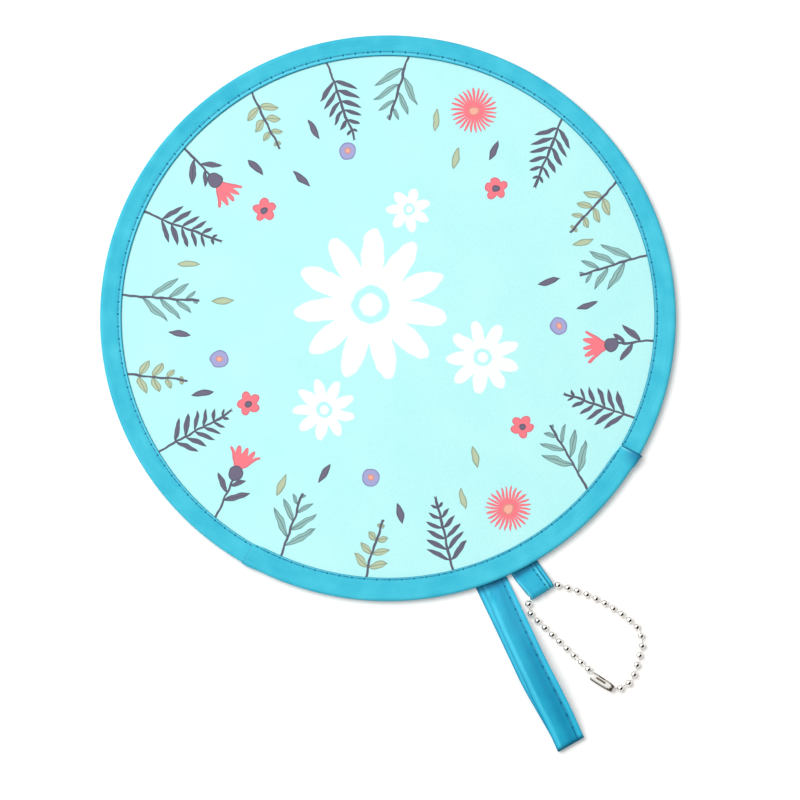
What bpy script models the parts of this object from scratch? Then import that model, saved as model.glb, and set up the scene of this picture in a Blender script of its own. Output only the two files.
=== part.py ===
"""Pop-open round hand fan, as sewn: a fabric disc held taut by a spring-steel hoop inside a two-piece
binding tape, with a doubled handle strap, a looped chain tab and a clasped ball chain.

Metres, +Z up. The fan lies on its back with the printed face up and the handle along -Y. The origin
is the centre of the fabric's back face.
"""

import math

import bmesh
import bpy
from mathutils import Matrix, Vector

MM = 0.001

# Fan, hoop and fabric
fan_diameter = 200 * MM
fabric_thickness = 0.3 * MM
hem_thickness = 0.2 * MM
hem_taper = 1.5 * MM
wire_diameter = 0.8 * MM
wire_end_gap = 0.3 * MM
ferrule_wall = 0.15 * MM
ferrule_length = 6 * MM
crimp_gap = 0.05 * MM
hem_gap = 0.3 * MM
ferrule_angle = -107
hoop_segments = 80
wire_sides = 6

# Binding tape: a long piece, and a short one that laps over both its ends
tape_thickness = 0.3 * MM
layer_gap = 0.15 * MM
channel_gap = 0.2 * MM
long_tape_width = 7.4 * MM
short_tape_width = 8 * MM
seam_lap = 3 * MM
lap_ramp = 1 * MM
short_tape_start_angle = -140.8
short_tape_end_angle = -53.4
tape_shoulder = 1.3 * MM
channel_open_angle = 110
channel_arc_steps = 4

# Handle strap and chain tab: a tape doubled back on itself, its ends sewn behind the binding
strap_thickness = 0.9 * MM
strap_ply = 0.3 * MM
strap_width = 9.4 * MM
strap_reach = 63.5 * MM
strap_angle = -90.3
strap_lean_angle = 2.3
tab_ply = 0.35 * MM
tab_side_margin = 0.05 * MM
tab_reach = 10.95 * MM
tab_lean_angle = 3.4
strap_tab_gap = 1.94 * MM
fold_distance = 1.5 * MM
fold_gap = 0.3 * MM
root_depth = 7 * MM
root_corner = 1 * MM
void_start_share = 0.2
slit_start_share = 0.08
outline_steps = 8

# Ball chain: each bead is a hollow ball with the next link's pin fixed in its closed side
bead_diameter = 2.4 * MM
bead_wall = 0.2 * MM
pin_diameter = 0.4 * MM
pin_head_diameter = 1 * MM
head_catch = 0.05 * MM
head_seat_gap = 0.03 * MM
mouth_flare = 0.1 * MM
link_gap = 1.05 * MM
tab_bead_gap = 0.3 * MM
open_link_gap = 0.3 * MM
open_link_slack = 0.1 * MM
bead_steps = 8
pin_steps = 6
outer_band_count = 6
inner_band_count = 4
head_band_count = 4
settling_link_count = 2
left_run_link_count = 8
# The turn at each bead in degrees, from the tab outwards
right_strand_angles = [37, 9] + [3.4] * 8 + [21.1] * 3 + [0.5] * 2 + [14, 24, 36]
left_strand_angles = [46, 28]

# Clasp: a slotted sleeve that holds the chain's two end beads
clasp_length = 9.2 * MM
clasp_wall = 0.25 * MM
clasp_gap = 0.1 * MM
clasp_catch = 0.15 * MM
clasp_shoulder = 0.35 * MM
end_bead_slack = 0.28 * MM
slot_gap = 0.2 * MM
window_gap = 0.15 * MM
clasp_turn_angle = 33
clasp_steps = 16
cutter_overrun = 1 * MM
merge_distance = 0.01 * MM

# Worked out from the sizes above
fan_radius = fan_diameter / 2
wire_radius = wire_diameter / 2
ferrule_radius = wire_radius + crimp_gap + ferrule_wall
channel_radius = ferrule_radius + channel_gap
rim_half_thickness = channel_radius + tape_thickness
wire_ring_radius = fan_radius - rim_half_thickness
fabric_middle = fabric_thickness / 2
strap_half = strap_thickness / 2
strap_middle = fabric_middle - rim_half_thickness - layer_gap - strap_half
table_height = strap_middle - strap_half
fold_radius = fan_radius + fold_distance
bead_radius = bead_diameter / 2
pin_radius = pin_diameter / 2
pin_head_radius = pin_head_diameter / 2
cavity_radius = bead_radius - bead_wall
throat_radius = pin_head_radius - head_catch
mouth_radius = throat_radius + mouth_flare
throat_depth = math.sqrt(cavity_radius ** 2 - throat_radius ** 2)
head_offset = throat_depth - math.sqrt((pin_head_radius + head_seat_gap) ** 2 - throat_radius ** 2)
link_pitch = bead_diameter + link_gap
pin_reach = link_pitch - head_offset
tab_width = 2 * link_pitch + bead_diameter + 2 * tab_side_margin
tab_angle = strap_angle + math.degrees((strap_width / 2 + strap_tab_gap + tab_width / 2) / fold_radius)
tab_heading = tab_angle + tab_lean_angle
tab_bore = bead_radius + tab_bead_gap
tab_end_radius = tab_bore + tab_ply
clasp_bore = bead_radius + clasp_gap
clasp_lip = bead_radius - clasp_catch
clasp_seat_depth = clasp_wall + math.sqrt(clasp_bore ** 2 - clasp_lip ** 2) + end_bead_slack
clasp_seat = clasp_length / 2 - clasp_seat_depth
chain_axis_height = table_height + tab_end_radius
chain_lying_height = table_height + bead_radius
clasp_lying_height = table_height + clasp_bore + clasp_wall


def direction(angle, slope=0):
    """Unit vector at an angle from +X in degrees, rising by slope, also in degrees."""
    turn, rise = math.radians(angle), math.radians(slope)
    return Vector((math.cos(turn) * math.cos(rise), math.sin(turn) * math.cos(rise), math.sin(rise)))


def material(name, colour, metallic, roughness):
    made = bpy.data.materials.new(name)
    made.use_nodes = True
    shader = made.node_tree.nodes["Principled BSDF"]
    shader.inputs["Base Color"].default_value = (*colour, 1)
    shader.inputs["Metallic"].default_value = metallic
    shader.inputs["Roughness"].default_value = roughness
    return made


def add_object(name, data, finish, place=None, to=None):
    """Puts data in the scene at place, a matrix, and gives it its own copy of a finish."""
    made = bpy.data.objects.new(name, data)
    if finish is not None:
        data.materials.append(finish.copy())
        data.materials[0].name = name + "_finish"
    made.matrix_world = place or Matrix.Identity(4)
    (to or fan_parts).objects.link(made)
    return made


def add_cutter(name, data, place):
    made = add_object(name, data, None, place, cutters)
    made.hide_render = True
    made.display_type = "WIRE"
    return made


def mesh_from(name, bm, smooth_angle=40):
    mesh = bpy.data.meshes.new(name)
    bm.to_mesh(mesh)
    bm.free()
    mesh.shade_smooth()
    mesh.set_sharp_from_angle(angle=math.radians(smooth_angle))
    return mesh


def profile_mesh(name, points, closed):
    """A line of edges through (distance from the axis, height along it)."""
    bm = bmesh.new()
    verts = [bm.verts.new((across, 0, along)) for across, along in points]
    for a, b in zip(verts, verts[1:] + verts[:closed]):
        bm.edges.new((a, b))
    mesh = bpy.data.meshes.new(name)
    bm.to_mesh(mesh)
    bm.free()
    return mesh


def turn_round(made, steps):
    """Screw modifier over a full turn. The profile runs down its outer side."""
    screw = made.modifiers.new("Turn", "SCREW")
    screw.steps = steps
    screw.render_steps = steps
    screw.use_merge_vertices = True
    screw.merge_threshold = merge_distance
    screw.use_smooth_shade = True
    return made


def boolean(made, other, operation):
    step = made.modifiers.new(operation.title(), "BOOLEAN")
    step.operation = operation
    step.object = other
    step.solver = "EXACT"


def arc(radius, start, end, steps, across=0, along=0):
    """Points on an arc about (across, along), with its angles in degrees."""
    angles = [math.radians(start + (end - start) * n / steps) for n in range(steps + 1)]
    return [(across + radius * math.cos(a), along + radius * math.sin(a)) for a in angles]


def place_along(origin, axis, up=Vector((0, 0, 1))):
    """Matrix with its local Z on axis and its local X as near to up as it goes."""
    z = axis.normalized()
    x = (up - z * up.dot(z)).normalized()
    return Matrix.Translation(origin) @ Matrix((x, z.cross(x), z)).transposed().to_4x4()


def place_flat(origin, heading):
    """Matrix with its local X on a level heading in degrees and its local Y up."""
    x, y = direction(heading), Vector((0, 0, 1))
    return Matrix.Translation(origin) @ Matrix((x, y, x.cross(y))).transposed().to_4x4()


def build_fabric():
    """The disc. Its hem is pressed thinner where the stitching nips it between the tape's plies."""
    hem_radius = wire_ring_radius - ferrule_radius - hem_gap
    flat_radius = fan_radius - short_tape_width - hem_taper
    hem_top = fabric_middle + hem_thickness / 2
    hem_back = fabric_middle - hem_thickness / 2
    profile = [(0, fabric_thickness), (flat_radius, fabric_thickness)]
    profile += [(flat_radius + hem_taper, hem_top), (hem_radius, hem_top)]
    profile += [(hem_radius, hem_back), (flat_radius + hem_taper, hem_back)]
    profile += [(flat_radius, 0), (0, 0)]
    disc = add_object("fabric_disc", profile_mesh("fabric_disc", profile, False), nonwoven)
    turn_round(disc, hoop_segments)


def build_hoop():
    """A round spring wire bent to a ring, its two ends butted inside a crimped ferrule."""
    step = 360 / hoop_segments
    chord_radius = wire_ring_radius * math.cos(math.radians(step / 2))
    half_gap = math.degrees(wire_end_gap / 2 / chord_radius)
    bends = [(ferrule_angle + step * (n + 0.5), wire_ring_radius) for n in range(hoop_segments)]
    ends = [(ferrule_angle + half_gap, chord_radius), (ferrule_angle - half_gap, chord_radius)]
    curve = bpy.data.curves.new("hoop_wire", "CURVE")
    curve.dimensions = "3D"
    curve.bevel_depth = wire_radius
    curve.bevel_resolution = 1
    curve.use_fill_caps = True
    spline = curve.splines.new("POLY")
    spline.points.add(len(bends) + 1)
    for point, (angle, reach) in zip(spline.points, [ends[0], *bends, ends[1]]):
        point.co = (*(direction(angle) * reach).xy, fabric_middle, 1)
    add_object("hoop_wire", curve, spring_steel)

    bore = wire_radius + crimp_gap
    half = ferrule_length / 2
    tube = [(ferrule_radius, half), (ferrule_radius, -half), (bore, -half), (bore, half)]
    middle = direction(ferrule_angle) * chord_radius + Vector((0, 0, fabric_middle))
    place = place_along(middle, direction(ferrule_angle + 90))
    ferrule = add_object("hoop_ferrule", profile_mesh("hoop_ferrule", tube, True), spring_steel, place)
    turn_round(ferrule, 2 * wire_sides)


def tape_section(width, lift):
    """Closed outline of the tape folded over the hoop, as (radius, height), opened out by lift."""
    inner_edge = fan_radius - width
    ply_in = fabric_middle + layer_gap + lift
    ply_out = ply_in + tape_thickness
    bore, shell = channel_radius + lift, rim_half_thickness + lift
    shoulder = wire_ring_radius - rim_half_thickness - tape_shoulder
    outside = arc(shell, channel_open_angle, -channel_open_angle, channel_arc_steps, wire_ring_radius)
    inside = arc(bore, -channel_open_angle, channel_open_angle, channel_arc_steps, wire_ring_radius)
    outline = [(inner_edge, ply_out), (shoulder, ply_out), *outside]
    outline += [(shoulder, -ply_out), (inner_edge, -ply_out), (inner_edge, -ply_in)]
    return outline + [(shoulder, -ply_in), *inside, (shoulder, ply_in), (inner_edge, ply_in)]


def build_tape(name, width, stations):
    """Skins the folded section through stations of (angle, lift) and closes both cut ends."""
    bm = bmesh.new()
    rings = []
    for angle, lift in stations:
        out = direction(angle)
        section = [out * r + Vector((0, 0, fabric_middle + h)) for r, h in tape_section(width, lift)]
        verts = [bm.verts.new(point) for point in section]
        rings.append([bm.edges.new(pair) for pair in zip(verts, verts[1:] + verts[:1])])
    for first, second in zip(rings, rings[1:]):
        bmesh.ops.bridge_loops(bm, edges=first + second)
    for end in (rings[0], rings[-1]):
        bmesh.ops.contextual_create(bm, geom=end)
    bmesh.ops.recalc_face_normals(bm, faces=bm.faces[:])
    add_object(name, mesh_from(name, bm), binding_cloth)


def build_binding():
    """The long tape runs most of the way round. The short one closes the hoop's entry and laps over it."""
    step = 360 / hoop_segments
    lap = math.degrees(seam_lap / fan_radius)
    ramp = math.degrees(lap_ramp / fan_radius)
    clear = math.degrees(layer_gap / fan_radius)
    lift = tape_thickness + layer_gap

    start, end = short_tape_end_angle, short_tape_start_angle + 360
    count = round((end - start) / step)
    angles = [start + (end - start) * n / count for n in range(count + 1)]
    build_tape("binding_long", long_tape_width, [(angle, 0) for angle in angles])

    start, end = short_tape_start_angle - lap, short_tape_end_angle + lap
    low, high = short_tape_start_angle + clear + ramp, short_tape_end_angle - clear - ramp
    count = round((high - low) / step)
    middle = [(low + (high - low) * n / count, 0) for n in range(count + 1)]
    from_end = [(start, lift), (low - ramp, lift)]
    to_end = [(high + ramp, lift), (end, lift)]
    build_tape("binding_short", short_tape_width, from_end + middle + to_end)


def hull_outline(near, near_radius, far, far_radius):
    """Outline round two circles, as two arcs joined by straight runs."""
    run = Vector(far) - Vector(near)
    lean = math.degrees(math.atan2(run.y, run.x))
    taper = math.degrees(math.asin((far_radius - near_radius) / run.length))
    back = arc(near_radius, lean + 90 + taper, lean + 270 - taper, outline_steps, *near)
    front = arc(far_radius, lean - 90 - taper, lean + 90 + taper, outline_steps, *far)
    return back + front


def add_outline(curve, points):
    spline = curve.splines.new("POLY")
    spline.points.add(len(points) - 1)
    for point, (across, along) in zip(spline.points, points):
        point.co = (across, along, 0, 1)
    spline.use_cyclic_u = True


def build_doubled_tape(name, width, angle, heading, ply, end_radius, reach, void_share):
    """A tape doubled back on itself. It folds at its near end, and its plies part towards the far one.
    reach is how far its end lies from the fan's edge, along its heading."""
    fold = direction(angle) * fold_radius + Vector((0, 0, strap_middle))
    near = (0, 0)
    far = (reach - fold_distance - end_radius, end_radius - strap_half)
    void_near = tuple(Vector(near).lerp(Vector(far), void_share))
    void_radius = strap_half - ply + (end_radius - strap_half) * void_share
    curve = bpy.data.curves.new(name, "CURVE")
    curve.dimensions = "2D"
    curve.fill_mode = "BOTH"
    curve.extrude = width / 2
    add_outline(curve, hull_outline(near, strap_half, far, end_radius))
    add_outline(curve, hull_outline(void_near, void_radius, far, end_radius - ply))
    add_object(name, curve, binding_cloth, place_flat(fold, heading))

    outer_end = -(strap_half + fold_gap)
    inner_end = outer_end - root_depth
    bm = bmesh.new()
    size = (root_depth, strap_thickness, width, 1)
    middle = Matrix.Translation(((outer_end + inner_end) / 2, 0, 0))
    bmesh.ops.create_cube(bm, size=1, matrix=middle @ Matrix.Diagonal(size))
    inner = [e for e in bm.edges if all(v.co.x < (outer_end + inner_end) / 2 for v in e.verts)]
    corners = [e for e in inner if abs(e.verts[0].co.y - e.verts[1].co.y) > strap_half]
    bmesh.ops.bevel(bm, geom=corners, offset=root_corner, segments=3, profile=0.5, affect="EDGES")
    add_object(name + "_root", mesh_from(name + "_root", bm), binding_cloth, place_flat(fold, heading))
    return fold, far


def bead_profile():
    """Hollow ball about the local Z axis, with its mouth at the bottom."""
    mouth_angle = math.degrees(math.asin(mouth_radius / bead_radius))
    throat_angle = math.degrees(math.asin(throat_radius / cavity_radius))
    outside = arc(bead_radius, 90, -90 + mouth_angle, outer_band_count)
    inside = arc(cavity_radius, -90 + throat_angle, 90, inner_band_count)
    return [(0, bead_radius), *outside[1:], *inside[:-1], (0, cavity_radius)]


def pin_profile(length, has_head):
    """Pin along local Z, from inside the ball's wall to its head's centre at length."""
    foot = bead_radius - bead_wall / 2
    if not has_head:
        return [(0, length), (pin_radius, length), (pin_radius, foot), (0, foot)]
    neck = math.degrees(math.asin(pin_radius / pin_head_radius))
    head = arc(pin_head_radius, 90, -90 + neck, head_band_count, 0, length)
    return [(0, length + pin_head_radius), *head[1:], (pin_radius, foot), (0, foot)]


def build_bead(name, centre, axis, pin_direction, pin_length, has_head=True):
    """Makes a bead and, where pin_length isn't 0, joins its pin to it."""
    bead = add_object(name, profile_mesh(name, bead_profile(), False), nickel, place_along(centre, axis))
    turn_round(bead, bead_steps)
    if not pin_length:
        return
    shape = profile_mesh(name + "_pin", pin_profile(pin_length, has_head), False)
    pin = add_cutter(name + "_pin", shape, place_along(centre, pin_direction))
    turn_round(pin, pin_steps)
    boolean(bead, pin, "UNION")


def link_slope(height_change):
    """Slope of the few links that share a change of height, in degrees."""
    return math.degrees(math.asin(height_change / settling_link_count / link_pitch))


def strand_links(crease, side, angles, slope):
    """Directions of a strand's links, from the tab outwards, turning to one side at each bead. The
    first few lie at the slope."""
    links, heading = [], crease
    for n, angle in enumerate(angles):
        heading += side * angle
        links.append(direction(heading, slope if n < settling_link_count else 0))
    return links


def run_heading(start, clasp_end):
    """Heading of the left strand's straight run, whose last link has to reach the clasp."""
    run, last = left_run_link_count * link_pitch, link_pitch + open_link_slack
    to_start = (start - clasp_end).xy
    cosine = (run ** 2 + to_start.length_squared - last ** 2) / (2 * run * to_start.length)
    return math.degrees(math.atan2(to_start.y, to_start.x) + math.acos(min(cosine, 1)))


def chain_layout(tab_fold, tab_end):
    """Beads from the left strand's end, through the tab, to the clasp, as centres and axes, with the
    directions of the links between them, the clasp's direction and the centre of its far bead. The
    chain leaves the tab along its crease."""
    crease = tab_heading + 90
    hanging = tab_fold + direction(tab_heading) * tab_end[0] + Vector((0, 0, tab_end[1]))
    fall = link_slope(chain_axis_height - chain_lying_height)
    climb = link_slope(clasp_lying_height - chain_lying_height)
    in_tab = [direction(crease), direction(crease)]

    right = in_tab + strand_links(crease, -1, right_strand_angles, -fall)
    for n in range(1, settling_link_count + 1):
        right[-n] = direction(math.degrees(math.atan2(right[-n].y, right[-n].x)), climb)
    heading = crease - sum(right_strand_angles) - clasp_turn_angle
    clasp_direction = direction(heading)
    axes = [right[0], right[0], right[0]]
    axes += [(a + b).normalized() for a, b in zip(right[2:], right[3:] + [clasp_direction])]
    centres = [hanging - right[0] * link_pitch, hanging]
    for link, axis in zip(right[1:], axes[2:]):
        centres.append(centres[-1] + link * pin_reach + axis * head_offset)
    clasp_end = centres[-1] + clasp_direction * 2 * clasp_seat

    links = strand_links(crease, 1, left_strand_angles, fall)
    after = in_tab[0]
    for n in range(len(links) + left_run_link_count):
        if n == len(left_strand_angles):
            heading = run_heading(centres[0], clasp_end)
            links += [direction(heading)] * (left_run_link_count - settling_link_count)
            links += [direction(heading, -climb)] * settling_link_count
        axes[0] = (links[n] + after).normalized()
        centres.insert(0, centres[0] - axes[0] * head_offset - links[n] * pin_reach)
        axes.insert(0, links[n])
        after = links[n]
    return centres, axes, links[::-1] + right, clasp_direction, clasp_end


def build_clasp(centre, axis):
    """A sleeve with turned-in ends, a slot for the chain's pins and a window in its middle, through
    which an end bead drops in."""
    half = clasp_length / 2
    bore, lip, skin = clasp_bore, clasp_lip, clasp_bore + clasp_wall
    inner_shoulder = half - clasp_wall - clasp_shoulder
    outside = [(lip, half), (skin - clasp_shoulder, half), (skin, half - clasp_shoulder)]
    inside = [(bore, inner_shoulder), (lip + clasp_wall / 2, half - clasp_wall), (lip, half - clasp_wall)]
    profile = outside + [(x, -z) for x, z in outside[::-1]]
    profile += [(x, -z) for x, z in inside[::-1]] + inside
    place = place_along(centre, axis)
    clasp = add_object("chain_clasp", profile_mesh("chain_clasp", profile, True), nickel, place)
    turn_round(clasp, clasp_steps)

    bm = bmesh.new()
    size = (skin + cutter_overrun, pin_diameter + 2 * slot_gap, clasp_length + 2 * cutter_overrun, 1)
    centred = Matrix.Translation(((skin + cutter_overrun) / 2, 0, 0))
    bmesh.ops.create_cube(bm, size=1, matrix=centred @ Matrix.Diagonal(size))
    boolean(clasp, add_cutter("clasp_slot_cutter", mesh_from("slot", bm), place), "DIFFERENCE")
    bm = bmesh.new()
    radius = bead_radius + window_gap
    across = centred @ Matrix.Rotation(math.radians(90), 4, "Y")
    bmesh.ops.create_cone(bm, cap_ends=True, segments=clasp_steps, radius1=radius, radius2=radius,
                          depth=skin + cutter_overrun, matrix=across)
    boolean(clasp, add_cutter("clasp_window_cutter", mesh_from("window", bm), place), "DIFFERENCE")


def build_chain(tab_fold, tab_end):
    centres, axes, links, clasp_direction, clasp_end = chain_layout(tab_fold, tab_end)
    left_count = len(left_strand_angles) + left_run_link_count
    names = [f"chain_bead_left_{n:02d}" for n in range(left_count, 0, -1)]
    names += [f"chain_bead_tab_{n}" for n in (1, 2, 3)]
    names += [f"chain_bead_right_{n:02d}" for n in range(1, len(right_strand_angles))]
    for name, centre, axis, link in zip(names, centres, axes, links):
        build_bead(name, centre, axis, link, pin_reach)

    build_bead("chain_bead_clasp_right", centres[-1], axes[-1], axes[-1], 0)
    build_clasp((centres[-1] + clasp_end) / 2, clasp_direction)
    to_left = centres[0] - clasp_end
    stub = to_left.length - bead_radius - open_link_gap
    build_bead("chain_bead_clasp_left", clasp_end, to_left.normalized(), to_left.normalized(), stub, False)


for leftover in list(bpy.data.objects):
    bpy.data.objects.remove(leftover, do_unlink=True)
fan_parts = bpy.data.collections.new("round_hand_fan")
cutters = bpy.data.collections.new("cutters")
for group in (fan_parts, cutters):
    bpy.context.scene.collection.children.link(group)

nonwoven = material("aqua_nonwoven", (0.53, 0.93, 0.91), 0, 0.85)
binding_cloth = material("teal_binding_cloth", (0.06, 0.55, 0.75), 0, 0.55)
spring_steel = material("spring_steel", (0.55, 0.55, 0.56), 1, 0.35)
nickel = material("nickel_plate", (0.78, 0.77, 0.75), 1, 0.18)

build_fabric()
build_hoop()
build_binding()
build_doubled_tape("handle_strap", strap_width, strap_angle, strap_angle + strap_lean_angle, strap_ply,
                   strap_half, strap_reach, slit_start_share)
build_chain(*build_doubled_tape("chain_tab", tab_width, tab_angle, tab_heading, tab_ply,
                                tab_end_radius, tab_reach, void_start_share))
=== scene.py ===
"""Looks of the round pop-open hand fan: printed nonwoven disc, bias-bound spring hoop, satin handle
strap, and a ball chain with its clasp in a satin tab. Written for Blender 4.5."""

import math

import bmesh
import bpy
from mathutils import Matrix, Vector, noise


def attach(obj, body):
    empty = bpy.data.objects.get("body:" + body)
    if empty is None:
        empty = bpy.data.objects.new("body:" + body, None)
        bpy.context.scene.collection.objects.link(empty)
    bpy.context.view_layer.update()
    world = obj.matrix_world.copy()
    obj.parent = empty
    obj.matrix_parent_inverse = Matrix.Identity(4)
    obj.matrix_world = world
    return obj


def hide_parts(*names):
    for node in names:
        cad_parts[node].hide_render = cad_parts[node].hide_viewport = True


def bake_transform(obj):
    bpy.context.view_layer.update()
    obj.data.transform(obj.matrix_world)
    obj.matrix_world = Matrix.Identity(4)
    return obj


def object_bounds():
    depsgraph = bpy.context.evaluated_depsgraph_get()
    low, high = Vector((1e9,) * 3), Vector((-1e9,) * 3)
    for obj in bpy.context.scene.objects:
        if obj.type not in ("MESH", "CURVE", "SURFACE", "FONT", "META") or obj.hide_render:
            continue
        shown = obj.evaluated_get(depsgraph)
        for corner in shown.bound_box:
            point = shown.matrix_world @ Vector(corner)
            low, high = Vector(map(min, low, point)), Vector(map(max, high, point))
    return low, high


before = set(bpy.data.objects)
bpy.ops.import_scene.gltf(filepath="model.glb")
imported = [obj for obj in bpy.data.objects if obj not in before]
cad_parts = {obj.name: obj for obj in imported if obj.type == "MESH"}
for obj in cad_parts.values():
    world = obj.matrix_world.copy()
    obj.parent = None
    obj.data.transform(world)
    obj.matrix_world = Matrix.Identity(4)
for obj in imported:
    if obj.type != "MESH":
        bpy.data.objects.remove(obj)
cad_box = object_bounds()

MM = 0.001
UP = Vector((0, 0, 1))
merge_distance = 1e-7
smooth_angle = 50

# The disc and the rim, as in the part's source
fan_radius = 100 * MM
fabric_middle = 0.15 * MM
fabric_half = 0.15 * MM
fabric_flat_radius = 90.5 * MM
hem_half = 0.1 * MM
hem_radius = 98 * MM
wire_ring_radius = 98.9 * MM
rim_half_thickness = 1.1 * MM
channel_radius = 0.8 * MM
long_tape_width = 7.4 * MM
short_tape_width = 8 * MM
short_tape_start_angle = -140.8
short_tape_end_angle = -53.4
seam_lap = 3 * MM
right_lap_lift = 0.45 * MM
left_lap_lift = 0.3 * MM
stitch_count = 135
stitch_pitch = math.tau * fan_radius / stitch_count
stitch_inset = 1 * MM
hole_radius = 0.3 * MM

# The strap and the tab. Their widths are the photographed ones, a little over the solids'
fold_radius = 101.5 * MM
strap_middle = -1.55 * MM
strap_half = 0.45 * MM
strap_angle = -90.3
strap_heading = -88
strap_width = 9.9 * MM
strap_reach = 62 * MM
strap_seam = 2.8 * MM
root_near = 0.75 * MM
root_far = 7.75 * MM
tab_angle = -83.9
tab_heading = -80.5
tab_width = 10 * MM
tab_end_radius = 1.85 * MM
tab_end_distance = 7.6 * MM
tab_seam = 2.2 * MM

# The chain, in the order in which its source lays it out. The beads' mouths are 0.1 mm wider across
# than in the source, which gives the pins room to swing
bead_radius = 1.2 * MM
cavity_radius = 1 * MM
throat_radius = 0.48 * MM
mouth_radius = 0.6 * MM
pin_radius = 0.2 * MM
pin_head_radius = 0.5 * MM
head_offset = 0.613 * MM
link_pitch = 3.45 * MM
pin_reach = link_pitch - head_offset
open_link_slack = 0.1 * MM
open_link_gap = 0.3 * MM
right_strand_angles = [37, 9] + [3.4] * 8 + [21.1] * 3 + [0.5] * 2 + [14, 24, 36]
left_strand_angles = [46, 28]
left_run_link_count = 8
settling_link_count = 2
clasp_turn_angle = 33
clasp_radius = 1.55 * MM
clasp_seat = 3.3035 * MM


def linear(colour):
    """Linear RGBA of an sRGB hex colour."""
    parts = [int(colour[n:n + 2], 16) / 255 for n in (1, 3, 5)]
    return [c / 12.92 if c <= 0.04045 else ((c + 0.055) / 1.055) ** 2.4 for c in parts] + [1]


def feed(tree, node, inputs):
    """Feeds the node's inputs, by number or name, with values, nodes or other nodes' sockets."""
    for key, value in inputs.items():
        if isinstance(value, bpy.types.Node):
            value = value.outputs[0]
        if isinstance(value, bpy.types.NodeSocket):
            tree.links.new(value, node.inputs[key])
        else:
            node.inputs[key].default_value = value


def add(tree, kind, *inputs, named=(), **settings):
    """Adds a node with its settings, and feeds its first inputs in order and the others by name."""
    node = tree.nodes.new("ShaderNode" + kind)
    for key, value in settings.items():
        setattr(node, key, value)
    feed(tree, node, {**dict(enumerate(inputs)), **dict(named)})
    return node


def new_finish(name):
    """An empty node material, its tree and its Principled shader."""
    finish = bpy.data.materials.new(name)
    finish.use_nodes = True
    return finish, finish.node_tree, finish.node_tree.nodes["Principled BSDF"]


def direction(angle, slope=0):
    """Unit vector at an angle from +X and a slope above the level, in degrees."""
    a, s = math.radians(angle), math.radians(slope)
    return Vector((math.cos(a) * math.cos(s), math.sin(a) * math.cos(s), math.sin(s)))


def arc(radius, start, end, steps, across=0, along=0):
    """Points of an arc from start to end, in degrees, about (across, along)."""
    angles = [math.radians(start + (end - start) * n / steps) for n in range(steps + 1)]
    return [(across + radius * math.cos(a), along + radius * math.sin(a)) for a in angles]


def ease(start, end, x):
    """Smooth step from 0 at start to 1 at end."""
    x = min(max((x - start) / (end - start), 0), 1)
    return x * x * (3 - 2 * x)


def seam_inset(angle):
    """Distance of the rim's seam from the tape's inner edge, which wanders round the rim."""
    return (1.05 + 0.45 * math.cos(angle - math.radians(85))) * MM


def between(points, x):
    """Value at x on the line through (x, value) points, all in mm."""
    x /= MM
    for (a, low), (b, high) in zip(points, points[1:]):
        if x <= b:
            return (low + (high - low) * max(x - a, 0) / (b - a)) * MM
    return points[-1][1] * MM


def place_along(origin, axis, up=UP):
    """Matrix with its local Z on axis and its local X as near to up as it goes."""
    z = axis.normalized()
    x = (up - z * up.dot(z)).normalized()
    return Matrix.Translation(origin) @ Matrix((x, z.cross(x), z)).transposed().to_4x4()


def place_flat(origin, heading):
    """Matrix with its local X on a level heading in degrees, its local Y to the left and Z up."""
    x = direction(heading)
    return Matrix.Translation(origin) @ Matrix((x, UP.cross(x), UP)).transposed().to_4x4()


def outline_edges(bm, points, closed):
    """A line of edges through (x, z) points at y 0."""
    verts = [bm.verts.new((x, 0, z)) for x, z in points]
    pairs = list(zip(verts, verts[1:])) + ([(verts[-1], verts[0])] if closed else [])
    return verts + [bm.edges.new(pair) for pair in pairs]


def turn_section(points, closed, turn, steps, start=0):
    """A bmesh of the section turned about Z through turn degrees from start."""
    bm = bmesh.new()
    geom = outline_edges(bm, points, closed)
    bmesh.ops.rotate(bm, verts=bm.verts[:], cent=(0, 0, 0),
                     matrix=Matrix.Rotation(math.radians(start), 3, "Z"))
    bmesh.ops.spin(bm, geom=geom, cent=(0, 0, 0), axis=UP, angle=math.radians(turn), steps=steps,
                   use_merge=turn == 360)
    bmesh.ops.remove_doubles(bm, verts=bm.verts[:], dist=merge_distance)
    return bm


def finish_piece(name, bm, finish, body=None, nodes=()):
    """Makes the piece's object, faces outwards, in its material, on its body and in its nodes' place."""
    bmesh.ops.recalc_face_normals(bm, faces=bm.faces[:])
    for face in bm.faces:
        face.smooth = True
    mesh = bpy.data.meshes.new(name)
    bm.to_mesh(mesh)
    bm.free()
    mesh.set_sharp_from_angle(angle=math.radians(smooth_angle))
    mesh.materials.append(finish)
    piece = bpy.data.objects.new(name, mesh)
    bpy.context.scene.collection.objects.link(piece)
    if body:
        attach(piece, body)
    if nodes:
        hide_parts(*nodes)
    return piece


# Print of the disc. Each motif is a signed depth in mm, above 0 inside its outline

def polar(tree, ahead, aside):
    """Distance from the centre, and the turn from the way ahead."""
    square = add(tree, "Math", aside, aside, operation="MULTIPLY")
    square = add(tree, "Math", ahead, ahead, square, operation="MULTIPLY_ADD")
    return add(tree, "Math", square, operation="SQRT"), add(tree, "Math", aside, ahead, operation="ARCTAN2")


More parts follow.
